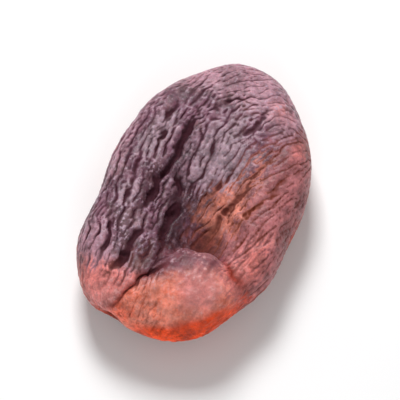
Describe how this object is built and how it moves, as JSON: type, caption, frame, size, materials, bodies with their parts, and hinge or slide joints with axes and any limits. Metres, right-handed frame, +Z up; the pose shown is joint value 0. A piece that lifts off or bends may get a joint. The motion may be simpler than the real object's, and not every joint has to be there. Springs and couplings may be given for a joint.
{
  "type": "dried apricot",
  "caption": "Pitted sun-dried apricot: a flattened oval fruit with a thick rolled rim, a dimple under a folded lip, and furrowed skin.",
  "frame": {"origin": "on the surface that the fruit lies on, under the middle of its bounding box", "axes": "+X along the fruit's length from the stem end to the tip, +Y towards the side of the rim that carries the suture, +Z up out of the dimpled face"},
  "size_m": [0.0428, 0.0286, 0.0117],
  "materials": {
    "dried_skin": "wrinkled, semi-matt, dark plum to orange-brown"
  },
  "bodies": {
    "root": {"apricot": "dried_skin"}
  },
  "joints": []
}
